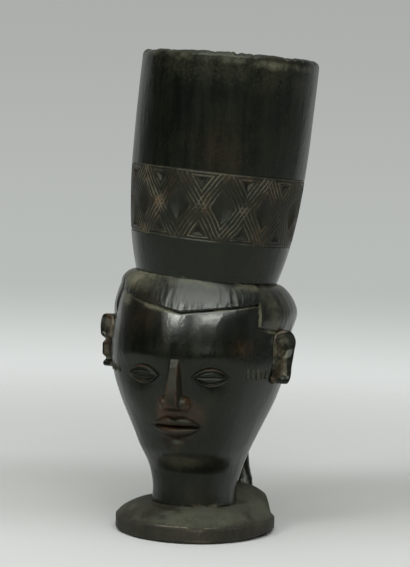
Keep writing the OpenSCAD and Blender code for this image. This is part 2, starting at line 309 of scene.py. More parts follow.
def tile(outer, inner):
    """A closed mesh between an outer and an inner sheet of points."""
    rows, columns = outer.shape[:2]
    sheet = grid_quads(rows, columns, wrap_columns=False)
    number = np.arange(rows * columns).reshape(rows, columns)
    border = np.concatenate([number[0, :-1], number[:-1, -1], number[-1, :0:-1], number[:0:-1, 0]])
    after = np.roll(border, -1)
    below = rows * columns
    walls = np.stack([after, border, border + below, after + below], axis=-1)
    points = np.concatenate([outer.reshape(-1, 3), inner.reshape(-1, 3)])
    return mesh_of(points, sheet, sheet[:, ::-1] + below, walls)


# Marks of age, from 0 to 1: dust that lies in hollows, wear along edges, polish, and dull places; in a few
# places the dust mark also carries painted light

# Depth of a hollow that fills with dust, and height of an edge that wears bare
DUSTY_DEPTH = 0.12
WORN_HEIGHT = 0.12
CREASE_ANGLE = math.radians(38)


def numbers(items, name, width, kind=float):
    """What a mesh keeps for each of its items, as rows of that width."""
    values = np.empty(len(items) * width, kind)
    items.foreach_get(name, values)
    return values.reshape(-1, width)


def places(mesh):
    """A mesh's points, in millimetres."""
    return numbers(mesh.vertices, "co", 3) / MM


def stands_out(mesh, rounds):
    """How far each point stands out from the surface round it, in millimetres: negative in hollows."""
    points = places(mesh)
    edges = numbers(mesh.edges, "vertices", 2, np.int32)
    here, there = np.concatenate([edges, edges[:, ::-1]]).T
    neighbours = np.bincount(here)[:, None]
    even = points
    for _ in range(rounds):
        even = np.stack([np.bincount(here, even[there, axis]) for axis in range(3)], axis=-1) / neighbours
    return np.sum((points - even) * numbers(mesh.vertices, "normal", 3), axis=-1)


def set_mark(mesh, name, amount, of_relief=0.0):
    """Marks points by one number or by a grid of them; points past the grid have only the relief's."""
    layer = mesh.attributes.get(name) or mesh.attributes.new(name, "FLOAT", "POINT")
    count = len(mesh.vertices)
    if np.ndim(amount):
        amount = np.pad(np.ravel(amount), (0, count - np.size(amount)))
    amount = np.broadcast_to(np.clip(amount + of_relief, 0, 1), count)
    layer.data.foreach_set("value", amount.astype(np.float32))


def put(name, data):
    """A new object in the scene."""
    item = bpy.data.objects.new(name, data)
    bpy.context.scene.collection.objects.link(item)
    return item


def add_piece(name, mesh, slot, nodes, dust=0.0, wear=0.0, polish=0.0, dull=0.0,
              rounds=5, hollow_dust=0.6, edge_wear=0.6):
    """A finished piece that stands for its nodes, with its own marks of age and those of its relief."""
    mesh.name = name
    mesh.shade_smooth()
    mesh.set_sharp_from_angle(angle=CREASE_ANGLE)
    relief = stands_out(mesh, rounds)
    set_mark(mesh, "dust", dust, hollow_dust * np.clip(-relief / DUSTY_DEPTH, 0, 1))
    set_mark(mesh, "wear", wear, edge_wear * np.clip(relief / WORN_HEIGHT, 0, 1))
    set_mark(mesh, "polish", polish)
    set_mark(mesh, "dull", dull)
    mesh.materials.clear()
    mesh.materials.append(FINISHES[slot])
    piece = put(name, mesh)
    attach(piece, "root")
    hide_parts(*nodes)


# Node trees

def operator(operation, reflected=False):
    """One of Python's operators on sockets, which adds a Math node."""
    def apply(socket, *other):
        values = (*other, socket) if reflected else (socket, *other)
        return socket.graph.math(operation, *values)
    return apply


class Socket:
    """A node's output that takes part in plain arithmetic."""

    __add__ = operator("ADD")
    __radd__ = operator("ADD", reflected=True)
    __sub__ = operator("SUBTRACT")
    __rsub__ = operator("SUBTRACT", reflected=True)
    __mul__ = operator("MULTIPLY")
    __rmul__ = operator("MULTIPLY", reflected=True)
    __truediv__ = operator("DIVIDE")
    __abs__ = operator("ABSOLUTE")

    def __init__(self, graph, link):
        self.graph = graph
        self.link = link


class Graph:
    """One node tree."""

    def __init__(self, tree):
        self.tree = tree

    def add(self, kind, settings=None, sockets=None, output=0):
        """One output of a new node, by its type, its settings and the values or links of its sockets."""
        node = self.tree.nodes.new(kind)
        for name, value in (settings or {}).items():
            if name == "stops":
                self.set_stops(node.color_ramp, value)
            else:
                setattr(node, name, value)
        for key, value in (sockets or {}).items():
            if isinstance(value, Socket):
                self.tree.links.new(value.link, node.inputs[key])
            else:
                node.inputs[key].default_value = value
        return Socket(self, node.outputs[output]) if node.outputs else None

    def set_stops(self, ramp, stops):
        ramp.interpolation = "EASE"
        while len(ramp.elements) < len(stops):
            ramp.elements.new(1)
        for element, (place, colour) in zip(ramp.elements, stops):
            element.position = place
            element.color = colour

    def math(self, operation, *values):
        return self.add("ShaderNodeMath", {"operation": operation}, dict(enumerate(values)))

    def highest(self, first, *others):
        for other in others:
            first = self.math("MAXIMUM", first, other)
        return first

    def step(self, value, low, high):
        """0 below low, 1 above high, and a smooth rise between."""
        return self.add("ShaderNodeMapRange", {"interpolation_type": "SMOOTHSTEP"},
                        {"Value": value, "From Min": low, "From Max": high})

    def vector(self, x, y, z):
        return self.add("ShaderNodeCombineXYZ", {}, {0: x, 1: y, 2: z})

    def parts(self, vector):
        node = self.add("ShaderNodeSeparateXYZ", {}, {0: vector}).link.node
        return [Socket(self, output) for output in node.outputs]

    def stretched(self, vector, scale):
        return self.add("ShaderNodeVectorMath", {"operation": "MULTIPLY"}, {0: vector, 1: scale})

    def noise(self, place, scale, detail):
        return self.add("ShaderNodeTexNoise", {}, {"Vector": place, "Scale": scale, "Detail": detail})

    def mark(self, name):
        return self.add("ShaderNodeAttribute", {"attribute_name": name}, output="Fac")

    def blend(self, amount, first, second):
        """A colour between two colours."""
        return self.add("ShaderNodeMix", {"data_type": "RGBA"}, {"Factor": amount, 6: first, 7: second}, 2)


def emptied_tree(owner):
    """The node tree of a material or a world, with nothing in it yet."""
    owner.use_nodes = True
    owner.node_tree.nodes.clear()
    return Graph(owner.node_tree)


# Finishes

# Noises of the wood: their length along the upright grain as a share, their scale and their detail
GRAIN = {
    "fibres": (0.05, 1500, 3),
    "streaks": (0.12, 240, 4),
    "dents": (0.5, 420, 2),
    "clouds": (1, 75, 4),
    "specks": (1, 900, 3),
    "rubbed": (0.6, 34, 3),
}
BUMP_STRENGTH = 0.4
BUMP_HEIGHT = 0.18 * MM
SHEEN_LEVEL = 0.3
SHEEN_TONE = (0.93, 1.0, 0.88, 1.0)
COAT_ROUGHNESS = 0.28
DUST = (104, 102, 84)
# Tones of each wood where it is deep, warm, worn and dusty, and its roughness
WOODS = {
    "black_wood": ((8, 10, 7), (20, 21, 13), (70, 52, 38), DUST, 0.28),
    "polished_wood": ((10, 12, 9), (23, 23, 15), (66, 48, 34), DUST, 0.40),
    "worn_wood": ((15, 16, 11), (30, 26, 17), (92, 62, 40), DUST, 0.44),
    "dusty_wood": ((30, 29, 24), (48, 44, 35), (104, 97, 85), (70, 71, 60), 0.64),
}


def srgb(red, green, blue):
    """A colour as a picture shows it, from 0 to 255, in the linear form that shaders take."""
    parts = [value / 255 for value in (red, green, blue)]
    return tuple(p / 12.92 if p <= 0.04045 else ((p + 0.055) / 1.055) ** 2.4 for p in parts) + (1,)


def old_wood(name, *tones, rough):
    """Blackened wood with an upright grain: warm clouds, patchy wear along edges, and dust where marked."""
    material = bpy.data.materials.new(name)
    graph = emptied_tree(material)
    place = graph.add("ShaderNodeTexCoord", output="Object")
    fibres, streaks, dents, clouds, specks, rubbed = (
        graph.noise(graph.stretched(place, (1, 1, length)), scale, detail)
        for length, scale, detail in GRAIN.values())
    deep, warm, worn, dust = (srgb(*tone) for tone in tones)
    tone = graph.blend(graph.step(clouds * 0.4 + streaks * 0.35 + specks * 0.35, 0.40, 0.72), deep, warm)
    bare = graph.highest(graph.step(graph.mark("wear") * (0.2 + clouds + specks * 0.6), 0.40, 1.15),
                         graph.step(rubbed + (specks + streaks - 1) * 0.2, 0.56, 0.80) * 0.2)
    tone = graph.blend(bare, tone, worn)
    # The dust mark paints dust, and in a few places painted light: under the jaw, at the neck's foot and on
    # the temple step
    powder = graph.step(graph.mark("dust") * (0.15 + specks * 0.8 + clouds * 0.9), 0.22, 1.15)
    tone = graph.blend(powder, tone, dust)
    polish = graph.mark("polish")
    roughness = rough + (streaks - 0.5) * 0.2 + (clouds - 0.5) * 0.12 + powder * 0.3 - polish * 0.12
    height = fibres * 0.5 + specks * 0.4 + streaks + dents * 1.5
    normal = graph.add("ShaderNodeBump", {},
                       {"Strength": BUMP_STRENGTH, "Distance": BUMP_HEIGHT, "Height": height})
    shader = graph.add("ShaderNodeBsdfPrincipled", {}, {
        "Base Color": tone, "Roughness": roughness + graph.mark("dull") * 0.2, "Normal": normal,
        "Specular IOR Level": SHEEN_LEVEL, "Specular Tint": SHEEN_TONE,
        "Coat Weight": polish * 0.9 * (1 - powder), "Coat Roughness": COAT_ROUGHNESS})
    graph.add("ShaderNodeOutputMaterial", {}, {"Surface": shader})
    return material


FINISHES = {slot: old_wood(slot.replace("_", " ").capitalize(), *tones, rough=rough)
            for slot, (*tones, rough) in WOODS.items()}


# Face: soft forms raised on the head, or sunk into it where negative

FACE_ROUND_R = 36
EYE_S = math.radians(EYE_A) * FACE_ROUND_R
MOUTH_S = math.radians(MOUTH_A) * FACE_ROUND_R
# Height, distance from the middle line and its spread, level and its spread
FACE_FORMS = {
    "eye socket": (-1.5, EYE_S, 9, EYE_Z - 0.5, 6),
    "brow": (0.7, EYE_S - 1, 11, BROW_Z + 2, 4),
    "cheekbone": (0.9, EYE_S + 6, 9, EYE_Z - 11, 7),
    "muzzle": (1.6, 0, 12, MOUTH_Z, 7),
    "line of the mouth": (-1.4, 0, MOUTH_S * 0.8, MOUTH_Z, 0.7),
    "chin": (1.7, 0, 8.5, CHIN_Z + 3.5, 4.2),
    "fold over the chin": (-0.8, 0, 9, CHIN_Z + 8.5, 2),
    "groove under the nose": (-0.5, 0, 1.3, NOSE_Z - 2.5, 2.6),
    "foot of the nose": (1.0, 0, 8, NOSE_Z + 7, 8),
}


def across(turn):
    """Distance over the face from its middle line."""
    return np.radians(wrapped(turn)) * FACE_ROUND_R


def face_relief(turn, z):
    s = np.abs(across(turn))
    return sum(spot(s, z, *form) for form in FACE_FORMS.values())


def hairline_at(turn):
    """Height of the hairline, which drops in a step at each temple and passes behind the ears to the nape."""
    turn = wrapped(turn)
    levels = [HAIRLINE_Z, TEMPLE_Z, TEMPLE_Z - TEMPLE_DROP, EAR_TOP_Z + EAR_CLEAR_Z,
              EAR_TOP_Z - EAR_CLEAR_Z, NAPE_HAIR_Z, NAPE_HAIR_Z]
    heights = []
    for temple in (LEFT_TEMPLE_A, RIGHT_TEMPLE_A):
        turns = [0, temple, temple + TEMPLE_STEP_A, EAR_A - EAR_CLEAR_A,
                 EAR_A + EAR_CLEAR_A, EAR_A + 2 * EAR_CLEAR_A, 180]
        heights.append(np.interp(np.abs(turn), turns, levels))
    return np.where(turn > 0, *heights)


# Head and neck, parted under the jaw

HEAD_TURNS = np.concatenate([np.arange(-84, 84, 0.5), np.arange(84, 276, 1.5)])[None, :]
HEAD_ROWS = 180
NECK_ROWS = 56
# Tool cuts: their number round, length, depth, level and seed
HEAD_CUTS = (30, 13, 0.2, 0.4, 3)
JAW_LEDGE = 0.6
JAW_LEDGE_A = 48
JAW_FADE = 12
JAW_DULL = 0.7
JAW_DULL_W = 34
NECK_ROOT = 2.5
NECK_FLARE = 0.4
NECK_FLARE_H = 4
HAIR_GROOVE = 0.5
GLOSS = 0.5
GLOSS_A = (30, 65)
# Spots of dust, wear and painted light: amount, then middle and spread, first across, as a turn or a distance
# over the face, and then up; the temple's dust is measured down from the hairline instead
# Pale dust colour under the jaw that lightens its shade: painted light
JAW_PAINTED_LIGHT = (0.7, 0, 26, CHIN_Z - 2, 4.5)
TEMPLE_DUST = (0.7, -48, 9, 2.5, 3.5)
EAR_GRIME = (0.6, 68, 7, 80, 9)
MOUTH_WEAR = (0.5, 0, 15, MOUTH_Z + 3, 9)
CHEEK_WEAR = (0.3, 30, 9, 80, 8)
BROW_WEAR = (0.38, 40, 20, 80, 8)


def jaw_height(turn):
    """Height of the slanting cut under the jaw, where it meets the head's surface."""
    z = np.full(turn.shape, float(CHIN_Z))
    for _ in range(12):
        z = CHIN_Z + JAW_LIFT + math.tan(math.radians(JAW_RISE)) * face_point(turn, z)[..., 1]
    return z


def head_skin(turn, z, out=0.0):
    """The face and neck with their soft forms and the marks of the adze."""
    return face_point(turn, z, out + face_relief(turn, z) + tool_cuts(turn, z, *HEAD_CUTS))


def handling_gloss(turn):
    """Polish on the side of the jaw and neck that a hand holds."""
    return GLOSS * smooth(*GLOSS_A, wrapped(turn))


def make_head():
    z = mix(jaw_height(HEAD_TURNS), SEAT_Z, steps(HEAD_ROWS))
    turn = np.broadcast_to(HEAD_TURNS, z.shape)
    below_hair = hairline_at(turn) - z
    rows = head_skin(turn, z, -HAIR_GROOVE * swell(below_hair - 0.4, 0.5))
    side = wrapped(turn)
    s = np.abs(across(turn))
    line_width = mix(0.8, 1.6, smooth(0, -12, side))
    under_hair = swell(below_hair - 1.2, line_width) * (0.35 + 0.45 * patches(rows, 5, 21))
    by_ear = spot(side, z, *EAR_GRIME) * patches(rows, 4, 23)
    dust = np.maximum(under_hair, spot(side, below_hair, *TEMPLE_DUST)) + by_ear + spot(s, z, *JAW_PAINTED_LIGHT)
    wear = spot(s, z, *MOUTH_WEAR) + spot(s, z, *CHEEK_WEAR) + spot(side, z, *BROW_WEAR) + by_ear
    wear = wear + 0.4 * patches(rows, 16, 25) * smooth(BROW_Z + 4, BROW_Z - 6, z)
    handled = handling_gloss(turn) * smooth(CHEEK_Z + 6, CHEEK_Z - 8, z)
    polish = smooth(BROW_Z + 6, BROW_Z + 18, z) * smooth(50, 34, s) + handled
    dull = JAW_DULL * smooth(CHIN_Z + 22, CHIN_Z + 6, z) * swell(s, JAW_DULL_W)
    add_piece("head_block", lofted(rows), "black_wood", ["head"], dust, wear, polish, dull,
              hollow_dust=0.2, edge_wear=0.2)


def make_neck():
    jaw = jaw_height(HEAD_TURNS)
    z = mix(FOOT_H - NECK_ROOT, jaw, steps(NECK_ROWS))
    turn = np.broadcast_to(HEAD_TURNS, z.shape)
    ledge = JAW_LEDGE * swell(wrapped(turn), JAW_LEDGE_A) * swell(jaw - z, JAW_FADE)
    wall = head_skin(turn, z, NECK_FLARE * swell(z - FOOT_H + FOOT_DIP, NECK_FLARE_H) - ledge)
    tenon = head_skin(HEAD_TURNS, jaw + 1, -2 * JAW_LEDGE)
    rows = np.concatenate([wall, tenon])
    z = np.concatenate([z, jaw + 1])
    turn = np.concatenate([turn, HEAD_TURNS])
    s = across(turn)
    # Dust laid thick where the neck meets the foot lightens the shade of that joint: partly dust, partly
    # painted light
    dust = 0.9 * swell(rows[..., 2] - FOOT_H + FOOT_DIP, 1.6) * patches(rows, 7, 31) + spot(s, z, *JAW_PAINTED_LIGHT)
    add_piece("neck_column", lofted(rows), "black_wood", ["neck"], dust, polish=handling_gloss(turn),
              dull=JAW_DULL * swell(s, JAW_DULL_W), hollow_dust=0.25)


# Raised forms of the face: sheets over the face that dip under its surface along their outline

BURIED = 0.35
SHEET_DEPTH = 1.4


def raised(s, z, height):
    """A closed form over the face, from its distance across, level and height at each point of a sheet."""
    turn = np.degrees(s / FACE_ROUND_R)
    base = face_relief(turn, z)
    return tile(face_point(turn, z, base + height), face_point(turn, z, base - SHEET_DEPTH))


def sheet_places(rows, columns):
    """Places on a sheet: from 0 to 1 up its rows, and from -1 to 1 along its columns."""
    return steps(rows), np.linspace(-1, 1, columns)[None, :]


def sunk_border(height):
    """The heights of a sheet with its border under the face."""
    height[[0, -1], :] = -BURIED
    height[:, [0, -1]] = -BURIED
    return height


# Nose: half widths of its ridge and sides at the brow and at the tip, and its wings
NOSE_GRID = (90, 72)
NOSE_RIDGE = (1.3, 2.0)
NOSE_SIDES = (2.6, 4.8)
NOSE_ROOT_OUT = 1.4
NOSE_ROOT_Z = (BROW_Z + 2.5, BROW_Z - 2)
NOSE_TIP_Z = (NOSE_Z - 0.8, NOSE_Z + 2.4)
NOSE_BOW = 1.15
WING_R = 3.3
WING_OUT = 4.6
WING_S = NOSE_W / 2 - WING_R + 0.4
WING_Z = NOSE_Z + WING_R - 0.6


def make_nose():
    t, u = sheet_places(*NOSE_GRID)
    z = mix(WING_Z - WING_R, NOSE_ROOT_Z[0], t)
    down = share(BROW_Z, NOSE_Z, z)
    sides = mix(*NOSE_SIDES, down)
    wing_half = np.sqrt(np.maximum(WING_R ** 2 - (z - WING_Z) ** 2, 0))
    half = np.maximum(sides, (WING_S + wing_half) * (wing_half > 0))
    s = u * half
    ridge = mix(NOSE_ROOT_OUT, NOSE_OUT, down ** NOSE_BOW) * smooth(*NOSE_TIP_Z, z) * smooth(*NOSE_ROOT_Z, z)
    bridge = ridge * (1 - smooth(mix(*NOSE_RIDGE, down), sides, np.abs(s)))
    from_wing = ((np.abs(s) - WING_S) / WING_R) ** 2 + ((z - WING_Z) / WING_R) ** 2
    wing = WING_OUT * np.sqrt(np.maximum(1 - from_wing, 0))
    height = np.log(np.exp(bridge * 2) + np.exp(wing * 2) - 1) / 2 - BURIED
    add_piece("nose_ridge", raised(s, z, sunk_border(height)), "worn_wood", ["nose"],
              wear=0.45, hollow_dust=0.4, edge_wear=0.2)


# Lips: two rolls with a shallow bow on the upper one
LIP_GRID = (22, 96)
LIP_HEIGHT = {"upper": 4.2, "lower": 4.6}
LIP_END_H = 0.5
LIP_PART = 0.25
LIP_FULL = 0.72 * LIP_OUT
LIP_TAPER = 0.985
BOW_DEPTH = 0.9
BOW_W = 2.2


def make_lip(which, up):
    t, u = sheet_places(*LIP_GRID)
    s = u * MOUTH_S
    bow = BOW_DEPTH * swell(s, BOW_W) if up > 0 else 0
    tall = LIP_HEIGHT[which] * (1 - u ** 2) + LIP_END_H - bow
    z = MOUTH_Z + up * (LIP_PART + t * tall)
    roll = np.sin(np.pi * mix(0.12, 1, t)) ** 0.7
    height = sunk_border(LIP_FULL * np.sqrt(1 - LIP_TAPER * u ** 2) * roll - BURIED)
    if up < 0:
        z, height = z[::-1], height[::-1]
    add_piece(which + "_lip_roll", raised(s, z, height), "worn_wood", [which + "_lip"],
              wear=0.4, edge_wear=0.2)


# Eyes: almond lids round a lowered eyeball, which a slit divides
EYE_GRID = (56, 110)
EYE_END = 0.995
BALL_OUT = 0.75
SLIT_DEPTH = 0.55
SLIT_W = 0.45


def make_eye(name, side):
    t, u = sheet_places(*EYE_GRID)
    u = u * EYE_END
    v = 2 * t - 1
    half = EYE_H / 2 * (1 - u ** 2) ** 0.9
    inside = np.minimum((1 - np.abs(v)) * half, (1 - np.abs(u)) * EYE_W * 0.35)
    lid = LID_OUT * np.sin(np.pi * share(0, LID_W, inside)) ** 0.8
    ball = BALL_OUT * smooth(LID_W * 0.75, LID_W * 1.7, inside)
    slit = SLIT_DEPTH * swell(v * half, SLIT_W) * smooth(LID_W * 0.9, LID_W * 1.6, inside)
    height = np.maximum(lid, ball) - slit - BURIED * (inside < LID_W * 0.05)
    mesh = raised(side * EYE_S + u * EYE_W / 2, EYE_Z + v * half, height)
    add_piece(name, mesh, "polished_wood", [name.rsplit("_", 1)[0]], wear=0.2)


# Ears: a rounded plate with a raised outer rim, a hollow that opens to the face, and an inner curl

EAR_COLUMNS = 150
EAR_RINGS = 40
EAR_WALL_RINGS = 8
EAR_MIDDLE = np.array([-0.9, 0.4])
EAR_CUT = 1.2
EAR_EDGE_ROUND = 1.3
EAR_FRONT_DROP = 2.4
EAR_SCOOP = 0.7 * EAR_HOLLOW
EAR_WAVE = 0.12
CURL_MIDDLE = np.array([-3.4, -0.6])
CURL_R = 2.9
CURL_W = 1.3
CURL_OUT = 0.7
# The right ear sits higher, and its rim is worn into notches at these levels
RIGHT_EAR_LIFT = 2.6
NOTCHES = (0.8, -7.4)
NOTCH_DEPTH = 1.7
NOTCH_W = 1.2
LOBE_DROP = 0.7


def ear_outline():
    """Points round the ear's edge, evenly spaced: two rounds joined by straight sides, cut off flat below."""
    top_r = EAR_W / 2
    rounds = [((0, EAR_H / 2 - top_r), top_r), ((EAR_LOBE_R - top_r, EAR_LOBE_R - EAR_H / 2), EAR_LOBE_R)]
    angle = np.linspace(0, 2 * np.pi, 721)
    normal = np.stack([np.cos(angle), np.sin(angle)], axis=-1)
    top_reach, lobe_reach = (normal @ np.array(centre) + r for centre, r in rounds)
    top_edge, lobe_edge = (np.array(centre) + r * normal for centre, r in rounds)
    points = np.where((top_reach > lobe_reach)[:, None], top_edge, lobe_edge)
    points[:, 1] = np.maximum(points[:, 1], EAR_CUT - EAR_H / 2)
    run = np.append(0, np.cumsum(np.linalg.norm(np.diff(points, axis=0), axis=1)))
    at = np.linspace(0, run[-1], EAR_COLUMNS, endpoint=False)
    return np.stack([np.interp(at, run, points[:, axis]) for axis in (0, 1)], axis=-1)


def ear_height(flat, inset, notched):
    """Height of the ear at flat points that lie that far inside its edge, which rises away from the face."""
    x, y = flat[..., 0], flat[..., 1]
    rim = EAR_OUT - EAR_FRONT_DROP * smooth(2, 2 - EAR_W / 2, x)
    if notched:
        rim = rim - NOTCH_DEPTH * sum(swell(y - level, NOTCH_W) for level in NOTCHES)
        rim = rim - LOBE_DROP * smooth(NOTCHES[0] + 1, NOTCHES[0] - 1, y)
    rim = rim - EAR_EDGE_ROUND * (1 - np.sqrt(1 - (1 - share(0, EAR_EDGE_ROUND, inset)) ** 2))
    hollow = EAR_SCOOP * smooth(EAR_RIM * 0.5, EAR_RIM * 1.9, inset) * smooth(-EAR_W / 2, 0, x)
    from_curl = np.linalg.norm((flat - CURL_MIDDLE) * (1, 0.6), axis=-1)
    curl = CURL_OUT * swell(from_curl - CURL_R, CURL_W) * smooth(-1, 1, x - CURL_MIDDLE[0])
    return rim - np.maximum(hollow - curl, 0)


def make_ear(name, side, lift, notched):
    edge = ear_outline()
    spokes = edge - EAR_MIDDLE
    rim = ear_height(edge, np.zeros(EAR_COLUMNS), notched)
    rings = [np.column_stack([edge, mix(-ROOT_DEPTH, rim, t)])
             for t in np.linspace(0, 1, EAR_WALL_RINGS, endpoint=False)]
    for inwards in np.linspace(0, 0.97, EAR_RINGS) ** 1.3:
        flat = edge - inwards * spokes
        inset = inwards * np.linalg.norm(spokes, axis=-1) * 0.9
        rings.append(np.column_stack([flat, ear_height(flat, inset, notched)]))
    rows = np.stack(rings)
    local = rows + (EAR_WAVE * waver(rows, 3.5, 5))[..., None]
    angle = math.radians(EAR_A - 90 - EAR_FLARE)
    cos, sin = math.cos(angle), math.sin(angle)
    spun = np.array([[cos, -sin, 0], [sin, cos, 0], [0, 0, 1]])
    seat = face_point(np.array(EAR_A), np.array(EAR_Z)) + (0, 0, lift)
    placed = np.roll(local, 1, axis=-1) @ spun.T + seat
    inner = rows[..., 2] < EAR_OUT - EAR_RIM / 2
    inner[:EAR_WALL_RINGS] = False
    dust = inner * (0.2 + 0.4 * patches(rows, 4, 41))
    wear = inner * (0.4 + 0.35 * patches(rows, 3, 43))
    if side < 0:
        placed, dust, wear = (placed * (-1, 1, 1))[:, ::-1], dust[:, ::-1], wear[:, ::-1]
    add_piece(name, lofted(placed), "black_wood", [name.rsplit("_", 1)[0]], dust, wear,
              hollow_dust=0.3, edge_wear=0.15)


# Hair: a raised cap with a stepped hairline, with points closer together at the steps

STEP_TURNS = np.append(np.arange(-2, TEMPLE_STEP_A + 2, 0.15), TEMPLE_STEP_A)
HAIR_TURNS = np.unique(np.concatenate([
    np.arange(-180, 180, 0.6), LEFT_TEMPLE_A + STEP_TURNS, -RIGHT_TEMPLE_A - STEP_TURNS]))[None, :]
HAIR_ROWS = 60
HAIR_INNER_ROWS = 6
HAIR_EDGE_ROUND = 0.45
HAIR_EDGE_STEPS = 4
HAIR_CUTS = (64, 8, 0.22, 0.4, 8)
HAIR_STROKES = (140, 6, 0.2, 0.4, 9)
HAIR_ROLL = 0.4
HAIR_ROLL_H = 2.4
HAIR_BURIED = 0.3
HAIR_THIN = 1.0
# Spots on the hair: height or amount, turn and its spread, level and its spread
HAIR_BULGE = (0.9, 105, 35, SHOULDER_Z + 4, 6)
HAIR_WAIST = (-1.1, 105, 35, SHOULDER_Z - 10, 6)
HAIR_GRIME = (0.6, 70, 8, EAR_TOP_Z + 2, 6)
HAIR_RUB = (0.9, -42, 6, TEMPLE_Z + 1.5, 1.5)


def thin_hair(turn, z, low_turn, high_turn, level):
    """Where the hair thins at a temple: past a turn, before the ear, and below a level."""
    return smooth(low_turn, high_turn, turn) * smooth(100, 85, turn) * smooth(TEMPLE_Z + 4, level, z)


def make_hair():
    turn = HAIR_TURNS
    hairline = hairline_at(turn)
    edge = np.linspace(0, 1, HAIR_EDGE_STEPS, endpoint=False)[:, None]
    rise = steps(HAIR_ROWS)
    upper_z = mix(hairline + HAIR_EDGE_ROUND, SEAT_Z, rise)
    z = np.concatenate([hairline + HAIR_EDGE_ROUND * edge ** 2, upper_z])
    edge_out = np.concatenate([-HAIR_EDGE_ROUND * (1 - edge) ** 2, 0 * rise])
    cuts = tool_cuts(turn, z, *HAIR_CUTS) + tool_cuts(turn, z, *HAIR_STROKES) * swell(z - hairline - 2, 7)
    roll = HAIR_ROLL * swell(z - hairline, HAIR_ROLL_H) * (1 - swell(turn - LEFT_TEMPLE_A, 4))
    carved = (cuts - roll) * smooth(SEAT_Z, SEAT_Z - 3, z)
    fullness = spot(turn, z, *HAIR_BULGE) + spot(turn, z, *HAIR_WAIST)
    thin_left = thin_hair(turn, z, LEFT_TEMPLE_A + 4, LEFT_TEMPLE_A + 10, TEMPLE_Z - TEMPLE_DROP)
    thin_right = thin_hair(-turn, z, RIGHT_TEMPLE_A - 8, RIGHT_TEMPLE_A, TEMPLE_Z)
    thin = HAIR_THIN * np.maximum(thin_right, 0.5 * thin_left)
    outer = hair_point(turn, z, edge_out + carved + fullness - thin)
    inner_z = mix(SEAT_Z, hairline, steps(HAIR_INNER_ROWS))
    inner = hair_point(turn, inner_z, -HAIR_T - HAIR_BURIED)
    by_seat = smooth(SEAT_Z - 6, SEAT_Z - 0.3, z) * mix(0.6, 0.9, swell(turn + 35, 60))
    seat_dust = by_seat * patches(outer, 8, 51)
    on_top = smooth(SHOULDER_Z + 3, SEAT_Z - 3, z) * swell(turn + 38, 28)
    top_dust = on_top * (0.6 + 0.3 * patches(outer, 5, 53))
    by_ear = spot(turn, z, *HAIR_GRIME) * patches(outer, 4, 55)
    side_dust = swell(turn - 72, 24) * (0.35 + 0.25 * patches(outer, 7, 57))
    # Pale dust colour on the lit face of the temple step: partly dust, partly painted highlight
    step_dust_and_highlight = 0.9 * swell(turn - LEFT_TEMPLE_A - TEMPLE_STEP_A / 2, TEMPLE_STEP_A) * (z < hairline + 0.6)
    outer_dust = np.maximum.reduce([seat_dust, top_dust, by_ear, side_dust, step_dust_and_highlight])
    dust = np.concatenate([outer_dust, np.broadcast_to(step_dust_and_highlight[:1], inner_z.shape)])
    wear = spot(turn, z, *HAIR_RUB) + by_ear
    polish = mix(0.62, 0.3, smooth(HAIRLINE_Z + 3, SEAT_Z - 2, z))
    add_piece("hair_shell", looped(np.concatenate([outer, inner])), "polished_wood", ["hair_cap"],
              dust, wear, polish, hollow_dust=0.15, edge_wear=0.3)


# Foot: a round plate with hewn sides, a top that rises to the neck, and a swelling under the handle

FOOT_COLUMNS = 400
FOOT_SIDES = 13
FOOT_SIDE_CUT = 0.3
FOOT_EDGE_WAVE = 0.4
FOOT_WAVE_R = 30
FOOT_WAVE_L = 17
FOOT_ROUGH = 0.2
FOOT_CROWN = 1.5
FOOT_DIP = 1.3
FOOT_HUB_R = 0.5
MOUND_H = 6.5
MOUND_LEFT_A = (80, 50)
MOUND_RIGHT_A = (48, 22)
MOUND_GAP_X = (9, 15)
# Lobes round the foot: height or amount, turn and spread
FOOT_FORWARD = (3.5, 5, 50)
FOOT_BACK = (1.5, 125, 35)
FOOT_UNDERCUT = (1.2, 78, 28)
FOOT_DUST_GAP = (1, -23, 15)
FOOT_CHIPS = (1, 5, 45)


def foot_profile():
    """Radius and height along the foot's outline, from the middle of its base over the edge to the neck."""
    edge_r = FOOT_R - FOOT_BEVEL
    corners = np.array([
        [FOOT_HUB_R, 0], [edge_r, 0], [FOOT_R, FOOT_BEVEL], [FOOT_R, FOOT_EDGE_H - FOOT_BEVEL],
        [edge_r, FOOT_EDGE_H], [NECK_R - 1, FOOT_H], [FOOT_HUB_R, FOOT_H]])
    runs = [mix(a, b, np.linspace(0, 1, count, endpoint=False)[:, None])
            for a, b, count in zip(corners[:-1], corners[1:], (8, 5, 14, 5, 50, 4))]
    return np.concatenate(runs + [corners[-1:]])


